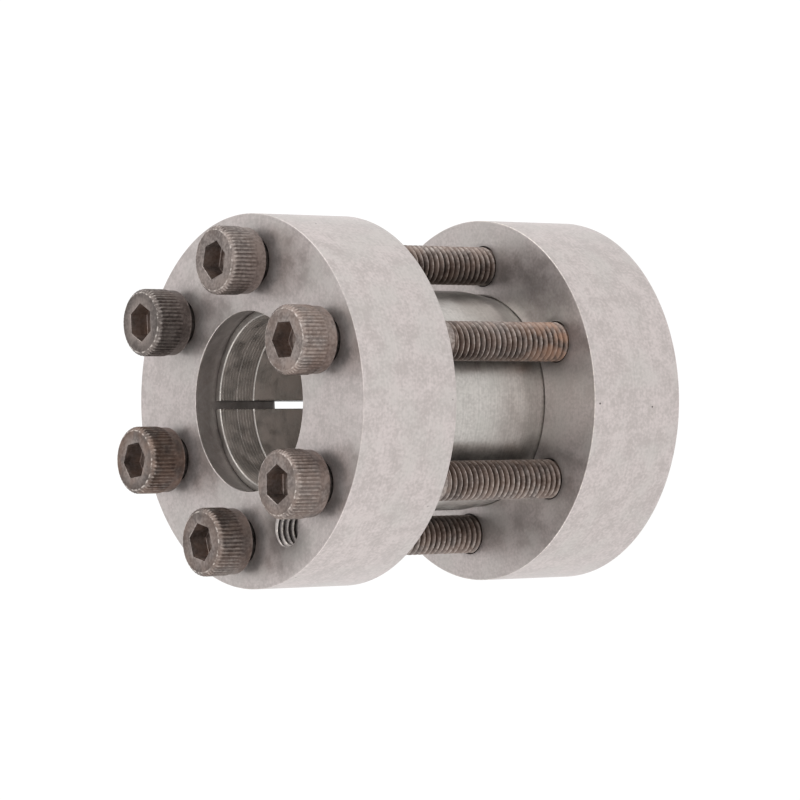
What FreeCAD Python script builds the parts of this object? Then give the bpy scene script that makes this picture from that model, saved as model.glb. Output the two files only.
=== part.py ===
import FreeCAD, Part
import os
import re
import Sketcher

# Shaft locking assembly: a keyless rigid coupling for two round shafts that meet end to end.
# Two flanges with tapered bores sit on a split sleeve that is tapered at both ends. Six cap screws
# pass through the front flange into threads in the rear one. Drawing the flanges together drives
# them up the tapers, and the slit lets the sleeve close on the shafts.
# Frame: the shaft axis is Z, the rear flange stands on z = 0 and the screw heads point to +Z.
# Lengths are in millimetres and angles in degrees, counted from +X towards +Y.

DIMENSIONS = {
    "shaft_diameter": 25.0,
    "sleeve_length": 52.0,
    "sleeve_end_wall": 1.16,
    "sleeve_clearance": 0.05,
    "sleeve_nose_chamfer": 0.3,
    "relief_depth": 6.2,
    "relief_step": 0.2,
    "bore_chamfer": 0.2,
    "slit_width": 1.2,
    "slit_angle": 181.3,
    "taper_half_angle": 9.5,
    "taper_stand_out": 4.2,
    "taper_mouth_chamfer": 0.25,
    "taper_nose_chamfer": 0.12,
    "flange_thickness": 16.9,
    "flange_gap": 26.4,
    "flange_inner_wall": 1.2,
    "flange_rim_wall": 3.65,
    "flange_edge_chamfer": 0.3,
    "screw_count": 6,
    "first_screw_angle": 24.0,
    "screw_length": 60.0,
    "thread_diameter": 5.9,
    "thread_clearance": 0.05,
    "tip_chamfer": 0.6,
    "grip_diameter": 6.0,
    "grip_length": 24.5,
    "grip_clearance": 0.3,
    "screw_hole_chamfer": 0.3,
    "head_diameter": 10.1,
    "head_height": 6.0,
    "head_stand_off": 1.4,
    "head_chamfer": 0.5,
    "head_base_diameter": 9.7,
    "head_base_height": 1.7,
    "key_size": 5.0,
    "socket_depth": 3.0,
    "knurl_count": 52,
    "knurl_depth": 0.16,
    "knurl_width": 0.42,
    "jacking_angle": 271.8,
    "jacking_hole_diameter": 5.0,
    "jacking_countersink": 0.5,
}

# Values that follow from the dimensions: the radii grow outwards from the shaft
DERIVED = {
    "bore_radius": "shaft_diameter / 2",
    "relief_radius": "bore_radius + relief_step",
    "front_flange_bottom": "flange_thickness + flange_gap",
    "assembly_length": "2 * flange_thickness + flange_gap",
    "sleeve_bottom": "(assembly_length - sleeve_length) / 2",
    "sleeve_end_radius": "relief_radius + sleeve_end_wall",
    "nose_radius": "sleeve_end_radius + sleeve_clearance - sleeve_bottom * tan(taper_half_angle)",
    "mouth_radius": "nose_radius + flange_thickness * tan(taper_half_angle)",
    "sleeve_radius": "mouth_radius - sleeve_clearance + taper_stand_out * tan(taper_half_angle)",
    "taper_length": "flange_thickness - sleeve_bottom + taper_stand_out",
    "tapped_hole_radius": "thread_diameter / 2 + thread_clearance",
    "clearance_hole_radius": "grip_diameter / 2 + grip_clearance",
    "screw_circle_radius": "mouth_radius + flange_inner_wall + clearance_hole_radius",
    "flange_radius": "screw_circle_radius + clearance_hole_radius + flange_rim_wall",
    "screw_pitch_angle": "360 / screw_count",
    "screw_bottom": "assembly_length + head_stand_off - screw_length",
    "head_radius": "head_diameter / 2",
    "head_top": "screw_length + head_height",
    "knurl_bottom": "screw_length + head_base_height",
    "socket_corner_radius": "key_size / 2 / cos(30)",
}

# How far the key left each screw's hexagon socket turned, one value a screw
SOCKET_TURNS = [1.0, 16.0, 33.0, 7.0, 47.0, 30.0]


def make_sheet(doc):
    """Put the dimensions and the derived values in one spreadsheet, each under its own alias."""
    sheet = doc.addObject("Spreadsheet::Sheet", "Dimensions")
    cells = {name: str(value) for name, value in DIMENSIONS.items()}
    cells.update({name: "=" + formula for name, formula in DERIVED.items()})
    for row, (name, content) in enumerate(cells.items(), start=1):
        sheet.set(f"A{row}", name)
        sheet.set(f"B{row}", content)
        sheet.setAlias(f"B{row}", name)
    doc.recompute()
    return sheet


def bound(formula):
    """Point the sheet's names in a formula at the sheet, for objects outside it."""
    def qualified(match):
        word = match.group()
        return "Dimensions." + word if word in DIMENSIONS or word in DERIVED else word
    return re.sub(r"[a-z_]+", qualified, formula)


def origin_feature(body, role):
    """Find one of the body's own planes or axes."""
    return next(item for item in body.Origin.OriginFeatures if item.Role == role)


def new_body(doc, name):
    """Start one piece, labelled with its name."""
    body = doc.addObject("PartDesign::Body", name)
    body.Label = name
    return body


def new_sketch(body, name, plane, offsets=None):
    """Attach an empty sketch to one of the body's planes, moved off its origin by formulas."""
    sketch = body.newObject("Sketcher::SketchObject", name)
    sketch.AttachmentSupport = [(origin_feature(body, plane), "")]
    sketch.MapMode = "FlatFace"
    for axis, formula in (offsets or {}).items():
        sketch.setExpression("AttachmentOffset.Base." + axis, bound(formula))
    return sketch


def constrain(sketch, formula, kind, *places):
    """Add a dimension whose value is a formula of the sheet's names."""
    value = float(sketch.evalExpression(bound(formula)))
    index = sketch.addConstraint(Sketcher.Constraint(kind, *places, value))
    sketch.setExpression(f"Constraints[{index}]", bound(formula))


def draw_outline(sketch, corners):
    """Draw a closed outline through corners, each a pair of formulas from the sketch's origin."""
    points = []
    for across, along in corners:
        x = float(sketch.evalExpression(bound(across)))
        y = float(sketch.evalExpression(bound(along)))
        points.append(FreeCAD.Vector(x, y, 0))
    edges = []
    for start, end in zip(points, points[1:] + points[:1]):
        edges.append(sketch.addGeometry(Part.LineSegment(start, end), False))
    for edge, follower in zip(edges, edges[1:] + edges[:1]):
        sketch.addConstraint(Sketcher.Constraint("Coincident", edge, 2, follower, 1))
    for edge, (across, along) in zip(edges, corners):
        for kind, formula, axis in (("DistanceX", across, -2), ("DistanceY", along, -1)):
            if formula == "0":
                sketch.addConstraint(Sketcher.Constraint("PointOnObject", edge, 1, axis))
            else:
                constrain(sketch, formula, kind, -1, 1, edge, 1)


def add_feature(body, kind, name, sketch):
    """Add a feature that is made from a sketch."""
    feature = body.newObject("PartDesign::" + kind, name)
    feature.Profile = sketch
    return feature


def turn(body, name, corners):
    """Turn a half section, given as radius and height, about the body's axis."""
    sketch = new_sketch(body, name + "Section", "XZ_Plane")
    draw_outline(sketch, corners)
    solid = add_feature(body, "Revolution", name, sketch)
    solid.ReferenceAxis = (sketch, ["V_Axis"])
    solid.Angle = 360


def drill_hole(body, name, radius, mouth_chamfer, angle):
    """Drill one hole through a flange, on the screw circle and chamfered at both faces."""
    offsets = {
        "x": f"screw_circle_radius * cos({angle})",
        "z": f"-screw_circle_radius * sin({angle})",
    }
    sketch = new_sketch(body, name + "Section", "XZ_Plane", offsets)
    draw_outline(sketch, [
        ("0", "0"),
        (f"{radius} + {mouth_chamfer}", "0"),
        (radius, mouth_chamfer),
        (radius, f"flange_thickness - {mouth_chamfer}"),
        (f"{radius} + {mouth_chamfer}", "flange_thickness"),
        ("0", "flange_thickness"),
    ])
    hole = add_feature(body, "Groove", name, sketch)
    hole.ReferenceAxis = (sketch, ["V_Axis"])
    hole.Angle = 360
    return hole


def repeat_round(body, feature, count):
    """Repeat a cut evenly round the body's axis."""
    pattern = body.newObject("PartDesign::PolarPattern", feature.Name + "Ring")
    pattern.Originals = [feature]
    pattern.Axis = (origin_feature(body, "Z_Axis"), [""])
    pattern.Angle = 360
    pattern.setExpression("Occurrences", bound(count))
    body.Tip = pattern


def turn_flange(body, nose, mouth):
    """Turn a disc with a tapered bore, whose narrow nose and wide mouth open at the given heights."""
    def inside(face, depth):
        return depth if face == "0" else f"{face} - {depth}"

    turn(body, body.Name + "Disc", [
        ("nose_radius + taper_nose_chamfer", nose),
        ("flange_radius - flange_edge_chamfer", nose),
        ("flange_radius", inside(nose, "flange_edge_chamfer")),
        ("flange_radius", inside(mouth, "flange_edge_chamfer")),
        ("flange_radius - flange_edge_chamfer", mouth),
        ("mouth_radius + taper_mouth_chamfer", mouth),
        ("mouth_radius - taper_mouth_chamfer * tan(taper_half_angle)",
         inside(mouth, "taper_mouth_chamfer")),
        ("nose_radius + taper_nose_chamfer * tan(taper_half_angle)",
         inside(nose, "taper_nose_chamfer")),
    ])


def make_rear_flange(doc):
    """The flange that the assembly stands on, tapped for the screws."""
    body = new_body(doc, "rear_flange")
    turn_flange(body, nose="0", mouth="flange_thickness")
    tapped = drill_hole(body, "TappedHole", "tapped_hole_radius", "screw_hole_chamfer", "0")
    repeat_round(body, tapped, "screw_count")
    body.setExpression("Placement.Rotation.Angle", bound("first_screw_angle"))
    return body


def make_front_flange(doc):
    """The flange under the screw heads, with clearance holes and a jacking thread."""
    body = new_body(doc, "front_flange")
    turn_flange(body, nose="flange_thickness", mouth="0")
    clearance = drill_hole(body, "ClearanceHole", "clearance_hole_radius", "screw_hole_chamfer", "0")
    repeat_round(body, clearance, "screw_count")
    drill_hole(body, "JackingHole", "jacking_hole_diameter / 2", "jacking_countersink", "jacking_angle")
    body.setExpression("Placement.Rotation.Angle", bound("first_screw_angle"))
    body.setExpression("Placement.Base.z", bound("front_flange_bottom"))
    return body


def make_split_sleeve(doc):
    """The sleeve: a taper at each end, the shaft bore with its end reliefs, and the slit."""
    body = new_body(doc, "split_sleeve")
    outside = [
        ("sleeve_end_radius - sleeve_nose_chamfer", "0"),
        ("sleeve_end_radius + sleeve_nose_chamfer * tan(taper_half_angle)", "sleeve_nose_chamfer"),
        ("sleeve_radius", "taper_length"),
    ]
    bore = [
        ("bore_radius", "relief_depth"),
        ("relief_radius", "relief_depth - relief_step"),
        ("relief_radius", "bore_chamfer"),
        ("relief_radius + bore_chamfer", "0"),
    ]
    far_end = [(radius, f"sleeve_length - ({depth})") for radius, depth in bore + outside]
    turn(body, "SleeveRing", outside + far_end[::-1] + bore)

    sketch = new_sketch(body, "SlitPlan", "XZ_Plane")
    draw_outline(sketch, [
        ("0", "0"),
        ("2 * sleeve_radius", "0"),
        ("2 * sleeve_radius", "sleeve_length"),
        ("0", "sleeve_length"),
    ])
    slit = add_feature(body, "Pocket", "Slit", sketch)
    slit.SideType = "Symmetric"
    slit.setExpression("Length", bound("slit_width"))
    body.setExpression("Placement.Rotation.Angle", bound("slit_angle"))
    body.setExpression("Placement.Base.z", bound("sleeve_bottom"))
    return body


def cut_socket(body):
    """Sink the hexagon socket into the screw's head."""
    sketch = new_sketch(body, "SocketPlan", "XY_Plane", {"z": "head_top"})
    draw_outline(sketch, [
        (f"socket_corner_radius * cos({angle})", f"socket_corner_radius * sin({angle})")
        for angle in range(0, 360, 60)
    ])
    socket = add_feature(body, "Pocket", "Socket", sketch)
    socket.setExpression("Length", bound("socket_depth"))


def cut_knurl(body):
    """Cut straight flutes round the head, from its smooth base out through its chamfer."""
    sketch = new_sketch(body, "FlutePlan", "XY_Plane", {"z": "knurl_bottom"})
    draw_outline(sketch, [
        ("head_radius - knurl_depth", "0"),
        ("head_radius + knurl_depth", "knurl_width"),
        ("head_radius + knurl_depth", "-knurl_width"),
    ])
    flute = add_feature(body, "Pocket", "Flute", sketch)
    flute.Type = "ThroughAll"
    flute.Reversed = True
    repeat_round(body, flute, "knurl_count")


def make_clamp_screw(doc, number):
    """One cap screw: chamfered tip, thread at its outer diameter, plain grip and knurled head."""
    body = new_body(doc, f"clamp_screw_{number + 1}")
    turn(body, "ScrewBlank", [
        ("0", "0"),
        ("thread_diameter / 2 - tip_chamfer", "0"),
        ("thread_diameter / 2", "tip_chamfer"),
        ("thread_diameter / 2", "screw_length - grip_length"),
        ("grip_diameter / 2", "screw_length - grip_length"),
        ("grip_diameter / 2", "screw_length"),
        ("head_base_diameter / 2", "screw_length"),
        ("head_base_diameter / 2", "knurl_bottom"),
        ("head_radius", "knurl_bottom"),
        ("head_radius", "head_top - head_chamfer"),
        ("head_radius - head_chamfer", "head_top"),
        ("0", "head_top"),
    ])
    cut_socket(body)
    cut_knurl(body)
    angle = f"first_screw_angle + {number} * screw_pitch_angle"
    body.setExpression("Placement.Base.x", bound(f"screw_circle_radius * cos({angle})"))
    body.setExpression("Placement.Base.y", bound(f"screw_circle_radius * sin({angle})"))
    body.setExpression("Placement.Base.z", bound("screw_bottom"))
    body.setExpression("Placement.Rotation.Angle", str(SOCKET_TURNS[number % len(SOCKET_TURNS)]))
    return body


def check(doc, pieces):
    """Stop if any object failed to compute or any piece is not one valid solid."""
    for item in doc.Objects:
        if "Invalid" in item.State or "Error" in item.State:
            raise RuntimeError(f"{item.Label} failed: {item.State}")
    for piece in pieces:
        shape = piece.Shape
        if shape.isNull() or not shape.isValid() or len(shape.Solids) != 1:
            raise RuntimeError(f"{piece.Label} is not one valid solid")


def main():
    """Build every piece and write each to its own file."""
    doc = FreeCAD.newDocument("ShaftLockingAssembly")
    sheet = make_sheet(doc)
    pieces = [make_rear_flange(doc), make_front_flange(doc), make_split_sleeve(doc)]
    pieces += [make_clamp_screw(doc, number) for number in range(int(sheet.screw_count))]
    doc.recompute()
    check(doc, pieces)
    os.makedirs("parts", exist_ok=True)
    for piece in pieces:
        piece.Shape.exportStep(f"parts/{piece.Label}.step")
        box = piece.Shape.BoundBox
        print(f"{piece.Label}: {piece.Shape.Volume:.1f} mm3, z {box.ZMin:.2f} to {box.ZMax:.2f}")


main()
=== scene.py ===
import logging
import math
from collections.abc import Callable, Sequence
from dataclasses import dataclass, fields
from enum import Enum
from functools import partial
from typing import ClassVar

import bmesh
import bpy
from mathutils import Matrix, Vector, noise
from mathutils.geometry import delaunay_2d_cdt


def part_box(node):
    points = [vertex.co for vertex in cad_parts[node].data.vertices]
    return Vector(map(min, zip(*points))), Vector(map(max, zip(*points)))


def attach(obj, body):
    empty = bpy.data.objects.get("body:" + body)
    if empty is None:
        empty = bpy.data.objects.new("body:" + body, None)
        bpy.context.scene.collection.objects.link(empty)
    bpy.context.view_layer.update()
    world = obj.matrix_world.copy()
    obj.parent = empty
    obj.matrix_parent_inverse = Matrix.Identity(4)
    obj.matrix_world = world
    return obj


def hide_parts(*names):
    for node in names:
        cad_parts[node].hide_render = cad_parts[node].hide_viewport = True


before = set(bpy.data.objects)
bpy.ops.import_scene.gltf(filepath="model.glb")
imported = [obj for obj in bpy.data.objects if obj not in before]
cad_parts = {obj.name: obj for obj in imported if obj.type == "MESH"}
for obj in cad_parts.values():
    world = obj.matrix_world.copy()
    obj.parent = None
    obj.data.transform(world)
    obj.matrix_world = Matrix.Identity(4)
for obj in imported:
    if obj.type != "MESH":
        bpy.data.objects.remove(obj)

# Shaft locking assembly: two steel flanges with tapered bores on a slit double-taper sleeve, drawn
# together by six cap screws. Lengths are in metres, written as millimetres times MM.
MM = 0.001
FULL_TURN = 2 * math.pi
SAME_HEIGHT = 1e-9
log = logging.getLogger("shaft_locking_assembly")

Point = tuple[float, float, float]
Place = tuple[float, float]
Loop = list[int]
Colour = tuple[float, float, float]


class Body(Enum):
    """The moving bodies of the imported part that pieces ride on."""

    REAR_FLANGE = "rear_flange"
    FRONT_FLANGE = "front_flange"
    SLEEVE = "split_sleeve"


class Slot(Enum):
    """The record's material slots."""

    FLANGE = "flange_steel"
    SLEEVE = "sleeve_steel"
    SCREW = "screw_steel"


# Sections and surfaces


@dataclass(frozen=True)
class Marks:
    """What use has left on the surface at a point, and the painted shade laid on it, each from 0 to 1.

    Attributes:
        wear: How brightly handling has polished it.
        rust: How rusty it is.
        grime_and_shade: How dark oil, dirt and painted shade have made it.
    """

    wear: float = 0.0
    rust: float = 0.0
    grime_and_shade: float = 0.0


CLEAN = Marks()


@dataclass(frozen=True)
class Corner:
    """One corner of a turned section.

    Attributes:
        radius: Distance from the axis.
        height: Height along the axis.
        broken: How far the corner's edge is rounded back along each side.
        marks: The marks along that edge.
    """

    radius: float
    height: float
    broken: float = 0.0
    marks: Marks = CLEAN


@dataclass(frozen=True)
class SectionPoint:
    """A point of a finished section."""

    radius: float
    height: float
    marks: Marks = CLEAN


def rounded_section(corners: Sequence[Corner], steps: int = 3) -> list[SectionPoint]:
    """Round the corners of a closed section.

    Args:
        corners: The section's corners in order.
        steps: How many pieces each rounded edge has.

    Returns:
        The section's points, in the same order.
    """
    points: list[SectionPoint] = []
    count = len(corners)
    for index, corner in enumerate(corners):
        if corner.broken == 0:
            points.append(SectionPoint(corner.radius, corner.height, corner.marks))
            continue
        middle = Vector((corner.radius, corner.height))
        ends = []
        for neighbour in (corners[index - 1], corners[(index + 1) % count]):
            way = (Vector((neighbour.radius, neighbour.height)) - middle).normalized()
            ends.append(middle + way * corner.broken)
        for step in range(steps + 1):
            share = step / steps
            place = ends[0] * (1 - share) ** 2 + middle * 2 * share * (1 - share) + ends[1] * share**2
            marks = corner.marks if 0 < step < steps else CLEAN
            points.append(SectionPoint(place.x, place.y, marks))
    return points


class Shell:
    """The surface of one piece while it is being built, with the marks that the finishes read."""

    def __init__(self) -> None:
        """Start with an empty surface."""
        self.points: list[Point] = []
        self.marks: list[Marks] = []
        self.faces: list[Loop] = []
        self.flat: list[bool] = []

    def point(self, place: Point, marks: Marks = CLEAN) -> int:
        """Add a point.

        Args:
            place: Where it is.
            marks: The surface's marks there.

        Returns:
            Its number.
        """
        self.points.append(place)
        self.marks.append(marks)
        return len(self.points) - 1

    def face(self, corners: Sequence[int], flat: bool = False) -> None:
        """Add a face, leaving out repeated corners and faces with no area.

        Args:
            corners: Its points in order.
            flat: Whether it is shaded flat.
        """
        kept = [c for n, c in enumerate(corners) if c != corners[n - 1]]
        if len(set(kept)) >= 3:
            self.faces.append(kept)
            self.flat.append(flat)

    def ring(
        self,
        height: float,
        radius: float | Callable[[float], float],
        count: int,
        centre: Place = (0.0, 0.0),
        marks: Marks = CLEAN,
    ) -> Loop:
        """Add a closed ring of points.

        Args:
            height: Height of the ring.
            radius: The ring's radius, or a function that gives it at an angle.
            count: How many points it has.
            centre: Where its axis is.
            marks: The surface's marks there.

        Returns:
            The points' numbers.
        """
        numbers = []
        for index in range(count):
            angle = FULL_TURN * index / count
            reach = radius(angle) if callable(radius) else radius
            place = (centre[0] + reach * math.cos(angle), centre[1] + reach * math.sin(angle), height)
            numbers.append(self.point(place, marks))
        return numbers

    def bridge(self, first: Loop, second: Loop, closed: bool = True) -> None:
        """Join two loops of equal length with a strip of faces.

        Args:
            first: One loop.
            second: The loop beside it.
            closed: Whether the last point joins the first.
        """
        for index in range(len(first) - (0 if closed else 1)):
            after = (index + 1) % len(first)
            self.face([first[index], first[after], second[after], second[index]])

    def fill(
        self,
        rim: Loop,
        holes: Sequence[Loop] = (),
        across: tuple[int, int] = (0, 1),
        between: Sequence[int] = (),
    ) -> None:
        """Fill a flat outline, leaving its holes open.

        Args:
            rim: The outline's points.
            holes: The outlines of its holes.
            across: The two coordinates that the flat face spreads over.
            between: Points inside the outline that the face takes in.
        """
        loops = (rim, *holes)
        numbers = [number for loop in (*loops, between) for number in loop]
        # In millimetres, because the triangulation's own tolerance is too coarse for metres
        places = [Vector([self.points[n][axis] / MM for axis in across]) for n in numbers]
        edges = []
        for loop in loops:
            start = len(edges)
            edges += [(start + i, start + (i + 1) % len(loop)) for i in range(len(loop))]
        tolerance = 1e-7
        result = delaunay_2d_cdt(places, edges, [], 0, tolerance, True)
        made_of = [sources[0] for sources in result[3]]
        drawn = {frozenset(edge) for edge, sources in zip(result[1], result[4]) if sources}
        for triangle in self._enclosed(result[2], drawn):
            self.face([numbers[made_of[corner]] for corner in triangle], flat=True)

    @staticmethod
    def _enclosed(triangles: Sequence[Loop], drawn: set[frozenset[int]]) -> list[Loop]:
        """Pick the triangles inside an outline and outside its holes.

        Args:
            triangles: All the triangles.
            drawn: The edges of the outline and of its holes.

        Returns:
            The triangles that an odd number of drawn edges parts from the outside.
        """
        sides = [[frozenset((corners[n - 1], corners[n])) for n in range(3)] for corners in triangles]
        users: dict[frozenset[int], list[int]] = {}
        for number, edges in enumerate(sides):
            for edge in edges:
                users.setdefault(edge, []).append(number)
        inside: dict[int, bool] = {}
        waiting = [(found[0], edge in drawn) for edge, found in users.items() if len(found) == 1]
        while waiting:
            number, state = waiting.pop()
            if number in inside:
                continue
            inside[number] = state
            for edge in sides[number]:
                waiting += [(other, state != (edge in drawn)) for other in users[edge]]
        return [corners for number, corners in enumerate(triangles) if inside[number]]

    def move(self, matrix: Matrix) -> None:
        """Move every point by a matrix."""
        self.points = [tuple(matrix @ Vector(place)) for place in self.points]

    def build(self, name: str, sharp_from: float = 38.0) -> bpy.types.Object:
        """Make the object, with its faces turned outwards.

        Args:
            name: The object's name.
            sharp_from: The angle in degrees from which an edge is shaded sharp.

        Returns:
            The new object, linked into the scene.
        """
        mesh = bpy.data.meshes.new(name)
        mesh.from_pydata(self.points, [], self.faces)
        for mark in fields(Marks):
            values = [getattr(marks, mark.name) for marks in self.marks]
            mesh.attributes.new(mark.name, "FLOAT", "POINT").data.foreach_set("value", values)
        draft = bmesh.new()
        draft.from_mesh(mesh)
        draft.faces.ensure_lookup_table()
        for face, flat in zip(draft.faces, self.flat):
            face.smooth = not flat
        loose = [vertex for vertex in draft.verts if not vertex.link_faces]
        bmesh.ops.delete(draft, geom=loose, context="VERTS")
        bmesh.ops.recalc_face_normals(draft, faces=draft.faces)
        limit = math.radians(sharp_from)
        open_edges = 0
        for edge in draft.edges:
            if not edge.is_manifold:
                open_edges += 1
            elif edge.calc_face_angle() > limit:
                edge.smooth = False
        draft.to_mesh(mesh)
        draft.free()
        piece = bpy.data.objects.new(name, mesh)
        bpy.context.scene.collection.objects.link(piece)
        log.info("%s: %d faces, %d open edges", name, len(mesh.polygons), open_edges)
        return piece


@dataclass(frozen=True)
class Thread:
    """A right-hand screw thread, whose ridge passes angle 0 at every whole pitch of height.

    Attributes:
        outer: Radius at the top of the ridge, or at the bottom of a nut's groove.
        inner: Radius at the foot of the ridge, or at the top of a nut's tooth.
        pitch: Height gained in one turn.
        outward: Whether the ridge points outwards, as on a screw, and not inwards, as in a nut.
        polish: How brightly the crests are polished, from 0 to 1.
        grime_and_shade: How dark dirt and painted shade make the flanks and roots, from 0 to 1.
    """

    outer: float
    inner: float
    pitch: float
    outward: bool = True
    polish: float = 0.6
    grime_and_shade: float = 0.6

    # Half the ridge's flat top and the breadth of its flank, in pitches, from the 60 degree form
    HALF_CREST: ClassVar[float] = 0.0625
    FLANK: ClassVar[float] = 0.354
    # Where the wall's rows lie in one pitch, from the middle of a crest
    STEPS: ClassVar[tuple[float, ...]] = (0.0, 0.0625, 0.18, 0.3, 0.4165, 0.5, 0.5835, 0.7, 0.82, 0.9375)
    COLUMNS: ClassVar[int] = 48

    def ridge(self, turns: float) -> float:
        """How high the ridge stands, 0 to 1, a number of pitches along."""
        from_crest = abs((turns + 0.5) % 1 - 0.5)
        return 1 - min(1.0, max(0.0, (from_crest - self.HALF_CREST) / self.FLANK))

    def cut(
        self,
        shell: Shell,
        centre: Place,
        low: float,
        high: float,
        limited: Callable[[float, float], float],
        rust: Callable[[float], float] = lambda height: 0.0,
    ) -> tuple[Loop, Loop]:
        """Wind the threaded wall round an axis.

        Args:
            shell: The surface that gets the wall.
            centre: Where the axis is.
            low: Height of the wall's lower end.
            high: Height of its upper end.
            limited: Gives the radius to use from the thread's own radius and the height.
            rust: Gives the rust at a height.

        Returns:
            The wall's lower and upper loops.
        """
        lowest = math.floor(low / self.pitch) - 1
        highest = math.ceil(high / self.pitch) + 1
        grid: list[Loop] = []
        for column in range(self.COLUMNS):
            share = column / self.COLUMNS
            angle = FULL_TURN * share

            def add(height: float) -> int:
                """Add the wall's point at this column.

                Args:
                    height: The point's height.

                Returns:
                    Its number.
                """
                ridge = self.ridge(height / self.pitch - share)
                reach = limited(self.inner + (self.outer - self.inner) * ridge, height)
                standing = (reach - self.inner) / (self.outer - self.inner)
                crest = min(1.0, max(0.0, standing if self.outward else 1 - standing))
                # Crests get polish; flanks and roots are painted darker, with dirt and painted shade
                marks = Marks(self.polish * crest**4, rust(height), self.grime_and_shade * (1 - crest))
                place = (centre[0] + reach * math.cos(angle), centre[1] + reach * math.sin(angle), height)
                return shell.point(place, marks)

            ends = add(low), add(high)
            numbers = []
            for turn in range(lowest, highest):
                for step in self.STEPS:
                    height = (turn + step + share) * self.pitch
                    if height <= low + SAME_HEIGHT:
                        numbers.append(ends[0])
                    elif height >= high - SAME_HEIGHT:
                        numbers.append(ends[1])
                    else:
                        numbers.append(add(height))
            grid.append(numbers)
        for column, numbers in enumerate(grid):
            beside = grid[(column + 1) % self.COLUMNS]
            shift = len(self.STEPS) if column == self.COLUMNS - 1 else 0
            for row in range(len(numbers) - 1 - shift):
                shell.face([numbers[row], beside[row + shift], beside[row + shift + 1], numbers[row + 1]])
        return [numbers[0] for numbers in grid], [numbers[-1] for numbers in grid]


# Shader building


class Recipe:
    """A node tree while it is being filled, for a material or for a node group."""

    def __init__(self, tree: bpy.types.NodeTree) -> None:
        """Start from an empty tree.

        Args:
            tree: The tree to fill.
        """
        self.tree = tree
        tree.nodes.clear()

    def add(self, kind: str, inputs: dict | None = None, **settings: object) -> bpy.types.Node:
        """Add a node.

        Args:
            kind: The node's type name.
            inputs: Socket names or numbers, each with a value or another node's output to link.
            settings: Properties of the node.

        Returns:
            The new node.
        """
        node = self.tree.nodes.new(kind)
        for name, value in settings.items():
            setattr(node, name, value)
        for socket, value in (inputs or {}).items():
            if isinstance(value, bpy.types.NodeSocket):
                self.tree.links.new(value, node.inputs[socket])
            elif isinstance(value, tuple) and len(value) == 3 and node.inputs[socket].type == "RGBA":
                node.inputs[socket].default_value = (*value, 1.0)
            else:
                node.inputs[socket].default_value = value
        return node

    def math(self, operation: str, *values: object) -> bpy.types.NodeSocket:
        """Add a Math node and return its output."""
        return self.add("ShaderNodeMath", dict(enumerate(values)), operation=operation).outputs[0]

    def noise(self, place: bpy.types.NodeSocket, scale: float, detail: float = 2.0) -> bpy.types.NodeSocket:
        """Add a Noise texture and return its value."""
        inputs = {"Vector": place, "Scale": scale, "Detail": detail}
        return self.add("ShaderNodeTexNoise", inputs).outputs[0]

    def between(
        self, value: object, low: object, high: object, to_low: object = 0.0, to_high: object = 1.0
    ) -> bpy.types.NodeSocket:
        """Map a value from one range smoothly to another and return the output."""
        inputs = {"Value": value, "From Min": low, "From Max": high, "To Min": to_low, "To Max": to_high}
        return self.add("ShaderNodeMapRange", inputs, interpolation_type="SMOOTHSTEP").outputs[0]

    def mix(self, share: object, first: object, second: object) -> bpy.types.NodeSocket:
        """Mix two colours.

        Args:
            share: How much of the second colour there is.
            first: The first colour.
            second: The second colour.

        Returns:
            The mixed colour's output.
        """
        node = self.add("ShaderNodeMix", data_type="RGBA")
        for socket, value in zip((node.inputs[0], node.inputs[6], node.inputs[7]), (share, first, second)):
            if isinstance(value, bpy.types.NodeSocket):
                self.tree.links.new(value, socket)
            else:
                socket.default_value = (*value, 1.0) if isinstance(value, tuple) else value
        return node.outputs[2]


class GroupRecipe(Recipe):
    """A shader node group while it is being filled.

    Attributes:
        given: The group's inputs.
        place: The shaded point in the object's own coordinates.
    """

    COLOUR: ClassVar[str] = "NodeSocketColor"
    NUMBER: ClassVar[str] = "NodeSocketFloat"

    def __init__(self, name: str, inputs: dict[str, float | Colour], outputs: Sequence[str]) -> None:
        """Make the group with its sockets.

        Args:
            name: The group's name.
            inputs: Each input's name and first value, a colour or a number.
            outputs: The outputs' names, of which Color is a colour and the others are numbers.
        """
        tree = bpy.data.node_groups.new(name, "ShaderNodeTree")
        super().__init__(tree)
        for label, value in inputs.items():
            coloured = isinstance(value, tuple)
            kind = self.COLOUR if coloured else self.NUMBER
            socket = tree.interface.new_socket(label, in_out="INPUT", socket_type=kind)
            socket.default_value = (*value, 1.0) if coloured else value
        for label in outputs:
            kind = self.COLOUR if label == "Color" else self.NUMBER
            tree.interface.new_socket(label, in_out="OUTPUT", socket_type=kind)
        self.given = self.add("NodeGroupInput").outputs
        self.place = self.add("ShaderNodeTexCoord").outputs["Object"]

    def mark(self, name: str) -> bpy.types.NodeSocket:
        """Read one of the surface's own marks and return its output."""
        return self.add("ShaderNodeAttribute", attribute_name=name).outputs["Fac"]

    def finish(self, outputs: dict[str, bpy.types.NodeSocket]) -> bpy.types.NodeTree:
        """Link the group's outputs and return the group."""
        self.add("NodeGroupOutput", outputs)
        return self.tree


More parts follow.
